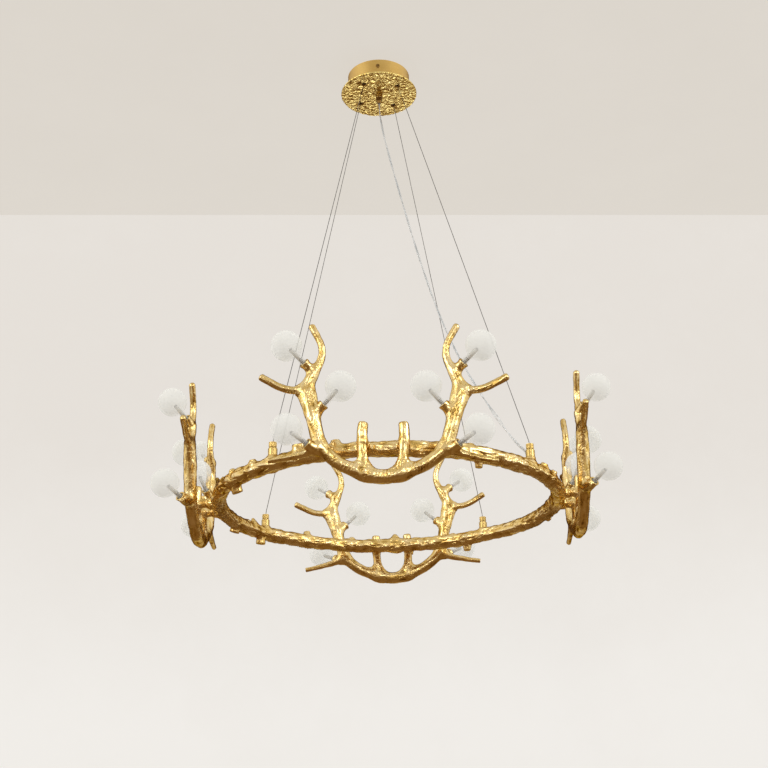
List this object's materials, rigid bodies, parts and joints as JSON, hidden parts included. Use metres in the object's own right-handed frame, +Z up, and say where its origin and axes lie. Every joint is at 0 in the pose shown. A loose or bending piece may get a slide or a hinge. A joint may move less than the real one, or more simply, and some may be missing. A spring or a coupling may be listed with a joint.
{
  "type": "antler chandelier",
  "caption": "Hanging chandelier: a bark-like cast ring on taut wires from a round canopy, with antler racks that carry small frosted globe lamps.",
  "frame": {"origin": "centre of the ceiling bracket's top face, on the ceiling and on the axis of the canopy", "axes": "+Z up; one rack faces -Y and the others follow every quarter turn; the fixture hangs in -Z"},
  "size_m": [0.9586, 0.9586, 1.1714],
  "materials": {
    "cast_gold": "cast with a bark and antler grain, polished gold",
    "hammered_gold": "crumpled relief, polished gold",
    "satin_gold": "satin, brushed round",
    "gold_fittings": "turned and polished",
    "steel_fittings": "zinc-plated",
    "steel_wire": "stranded wire rope",
    "clear_cord": "clear flexible insulation over tinned strands",
    "frosted_glass": "frosted towards the top, clear at the neck",
    "lamp_ceramic": "white ceramic",
    "lamp_capsule": "silicone-potted capsule with tinned pins",
    "driver_casing": "moulded white casing",
    "terminal_plastic": "moulded terminal strip"
  },
  "bodies": {
    "fixture": {"canopy_cup": "satin_gold", "canopy_plate": "hammered_gold", "side_screws": "gold_fittings", "cord_gland": "gold_fittings", "gland_cap": "gold_fittings", "gland_nut": "steel_fittings", "ceiling_bracket": "steel_fittings", "bushing_nuts": "steel_fittings", "wire_bushings": "steel_fittings", "wire_stops": "steel_fittings", "driver_screws": "steel_fittings", "led_driver": "driver_casing", "terminal_block": "terminal_plastic", "branch_ring": "cast_gold", "cord_inlet": "gold_fittings", "rack_studs": "gold_fittings", "gripper_bodies": "gold_fittings", "power_cord": "clear_cord", "lamp_holders": "lamp_ceramic", "lamp_capsules": "lamp_capsule", "near_antler_rack": "cast_gold", "right_antler_rack": "cast_gold", "far_antler_rack": "cast_gold", "left_antler_rack": "cast_gold", "near_left_gripper_spring": "steel_fittings", "near_right_gripper_spring": "steel_fittings", "far_right_gripper_spring": "steel_fittings", "far_left_gripper_spring": "steel_fittings", "near_left_wire": "steel_wire", "near_right_wire": "steel_wire", "far_right_wire": "steel_wire", "far_left_wire": "steel_wire"},
    "near_upper_left_globe": {"near_upper_left_globe": "frosted_glass"},
    "near_middle_left_globe": {"near_middle_left_globe": "frosted_glass"},
    "near_lower_left_globe": {"near_lower_left_globe": "frosted_glass"},
    "near_upper_right_globe": {"near_upper_right_globe": "frosted_glass"},
    "near_middle_right_globe": {"near_middle_right_globe": "frosted_glass"},
    "near_lower_right_globe": {"near_lower_right_globe": "frosted_glass"},
    "right_upper_left_globe": {"right_upper_left_globe": "frosted_glass"},
    "right_middle_left_globe": {"right_middle_left_globe": "frosted_glass"},
    "right_lower_left_globe": {"right_lower_left_globe": "frosted_glass"},
    "right_upper_right_globe": {"right_upper_right_globe": "frosted_glass"},
    "right_middle_right_globe": {"right_middle_right_globe": "frosted_glass"},
    "right_lower_right_globe": {"right_lower_right_globe": "frosted_glass"},
    "far_upper_left_globe": {"far_upper_left_globe": "frosted_glass"},
    "far_middle_left_globe": {"far_middle_left_globe": "frosted_glass"},
    "far_lower_left_globe": {"far_lower_left_globe": "frosted_glass"},
    "far_upper_right_globe": {"far_upper_right_globe": "frosted_glass"},
    "far_middle_right_globe": {"far_middle_right_globe": "frosted_glass"},
    "far_lower_right_globe": {"far_lower_right_globe": "frosted_glass"},
    "left_upper_left_globe": {"left_upper_left_globe": "frosted_glass"},
    "left_middle_left_globe": {"left_middle_left_globe": "frosted_glass"},
    "left_lower_left_globe": {"left_lower_left_globe": "frosted_glass"},
    "left_upper_right_globe": {"left_upper_right_globe": "frosted_glass"},
    "left_middle_right_globe": {"left_middle_right_globe": "frosted_glass"},
    "left_lower_right_globe": {"left_lower_right_globe": "frosted_glass"},
    "near_left_gripper_plunger": {"near_left_gripper_plunger": "gold_fittings"},
    "near_right_gripper_plunger": {"near_right_gripper_plunger": "gold_fittings"},
    "far_right_gripper_plunger": {"far_right_gripper_plunger": "gold_fittings"},
    "far_left_gripper_plunger": {"far_left_gripper_plunger": "gold_fittings"}
  },
  "joints": [
    {"name": "near_upper_left_globe_lift_off", "type": "slide", "parent": "fixture", "child": "near_upper_left_globe", "axis": [-0.6666, -0.4915, 0.5604], "range_m": [0, 0.032]},
    {"name": "near_middle_left_globe_lift_off", "type": "slide", "parent": "fixture", "child": "near_middle_left_globe", "axis": [0.7001, -0.2907, 0.6523], "range_m": [0, 0.032]},
    {"name": "near_lower_left_globe_lift_off", "type": "slide", "parent": "fixture", "child": "near_lower_left_globe", "axis": [-0.7288, -0.5402, 0.4207], "range_m": [0, 0.032]},
    {"name": "near_upper_right_globe_lift_off", "type": "slide", "parent": "fixture", "child": "near_upper_right_globe", "axis": [0.6969, -0.4915, 0.5223], "range_m": [0, 0.032]},
    {"name": "near_middle_right_globe_lift_off", "type": "slide", "parent": "fixture", "child": "near_middle_right_globe", "axis": [-0.6626, -0.2907, 0.6903], "range_m": [0, 0.032]},
    {"name": "near_lower_right_globe_lift_off", "type": "slide", "parent": "fixture", "child": "near_lower_right_globe", "axis": [0.7512, -0.5402, 0.3793], "range_m": [0, 0.032]},
    {"name": "right_upper_left_globe_lift_off", "type": "slide", "parent": "fixture", "child": "right_upper_left_globe", "axis": [0.4915, -0.6666, 0.5604], "range_m": [0, 0.032]},
    {"name": "right_middle_left_globe_lift_off", "type": "slide", "parent": "fixture", "child": "right_middle_left_globe", "axis": [0.2907, 0.7001, 0.6523], "range_m": [0, 0.032]},
    {"name": "right_lower_left_globe_lift_off", "type": "slide", "parent": "fixture", "child": "right_lower_left_globe", "axis": [0.5402, -0.7288, 0.4207], "range_m": [0, 0.032]},
    {"name": "right_upper_right_globe_lift_off", "type": "slide", "parent": "fixture", "child": "right_upper_right_globe", "axis": [0.4915, 0.6969, 0.5223], "range_m": [0, 0.032]},
    {"name": "right_middle_right_globe_lift_off", "type": "slide", "parent": "fixture", "child": "right_middle_right_globe", "axis": [0.2907, -0.6626, 0.6903], "range_m": [0, 0.032]},
    {"name": "right_lower_right_globe_lift_off", "type": "slide", "parent": "fixture", "child": "right_lower_right_globe", "axis": [0.5402, 0.7512, 0.3793], "range_m": [0, 0.032]},
    {"name": "far_upper_left_globe_lift_off", "type": "slide", "parent": "fixture", "child": "far_upper_left_globe", "axis": [0.6666, 0.4915, 0.5604], "range_m": [0, 0.032]},
    {"name": "far_middle_left_globe_lift_off", "type": "slide", "parent": "fixture", "child": "far_middle_left_globe", "axis": [-0.7001, 0.2907, 0.6523], "range_m": [0, 0.032]},
    {"name": "far_lower_left_globe_lift_off", "type": "slide", "parent": "fixture", "child": "far_lower_left_globe", "axis": [0.7288, 0.5402, 0.4207], "range_m": [0, 0.032]},
    {"name": "far_upper_right_globe_lift_off", "type": "slide", "parent": "fixture", "child": "far_upper_right_globe", "axis": [-0.6969, 0.4915, 0.5223], "range_m": [0, 0.032]},
    {"name": "far_middle_right_globe_lift_off", "type": "slide", "parent": "fixture", "child": "far_middle_right_globe", "axis": [0.6626, 0.2907, 0.6903], "range_m": [0, 0.032]},
    {"name": "far_lower_right_globe_lift_off", "type": "slide", "parent": "fixture", "child": "far_lower_right_globe", "axis": [-0.7512, 0.5402, 0.3793], "range_m": [0, 0.032]},
    {"name": "left_upper_left_globe_lift_off", "type": "slide", "parent": "fixture", "child": "left_upper_left_globe", "axis": [-0.4915, 0.6666, 0.5604], "range_m": [0, 0.032]},
    {"name": "left_middle_left_globe_lift_off", "type": "slide", "parent": "fixture", "child": "left_middle_left_globe", "axis": [-0.2907, -0.7001, 0.6523], "range_m": [0, 0.032]},
    {"name": "left_lower_left_globe_lift_off", "type": "slide", "parent": "fixture", "child": "left_lower_left_globe", "axis": [-0.5402, 0.7288, 0.4207], "range_m": [0, 0.032]},
    {"name": "left_upper_right_globe_lift_off", "type": "slide", "parent": "fixture", "child": "left_upper_right_globe", "axis": [-0.4915, -0.6969, 0.5223], "range_m": [0, 0.032]},
    {"name": "left_middle_right_globe_lift_off", "type": "slide", "parent": "fixture", "child": "left_middle_right_globe", "axis": [-0.2907, 0.6626, 0.6903], "range_m": [0, 0.032]},
    {"name": "left_lower_right_globe_lift_off", "type": "slide", "parent": "fixture", "child": "left_lower_right_globe", "axis": [-0.5402, -0.7512, 0.3793], "range_m": [0, 0.032]},
    {"name": "near_left_gripper_press", "type": "slide", "parent": "fixture", "child": "near_left_gripper_plunger", "axis": [0, 0, -1], "range_m": [0, 0.0025], "stiffness_N_per_m": 900, "springref_m": -0.0015, "deforming": ["near_left_gripper_spring"]},
    {"name": "near_right_gripper_press", "type": "slide", "parent": "fixture", "child": "near_right_gripper_plunger", "axis": [0, 0, -1], "range_m": [0, 0.0025], "stiffness_N_per_m": 900, "springref_m": -0.0015, "deforming": ["near_right_gripper_spring"]},
    {"name": "far_right_gripper_press", "type": "slide", "parent": "fixture", "child": "far_right_gripper_plunger", "axis": [0, 0, -1], "range_m": [0, 0.0025], "stiffness_N_per_m": 900, "springref_m": -0.0015, "deforming": ["far_right_gripper_spring"]},
    {"name": "far_left_gripper_press", "type": "slide", "parent": "fixture", "child": "far_left_gripper_plunger", "axis": [0, 0, -1], "range_m": [0, 0.0025], "stiffness_N_per_m": 900, "springref_m": -0.0015, "deforming": ["far_left_gripper_spring"]}
  ]
}
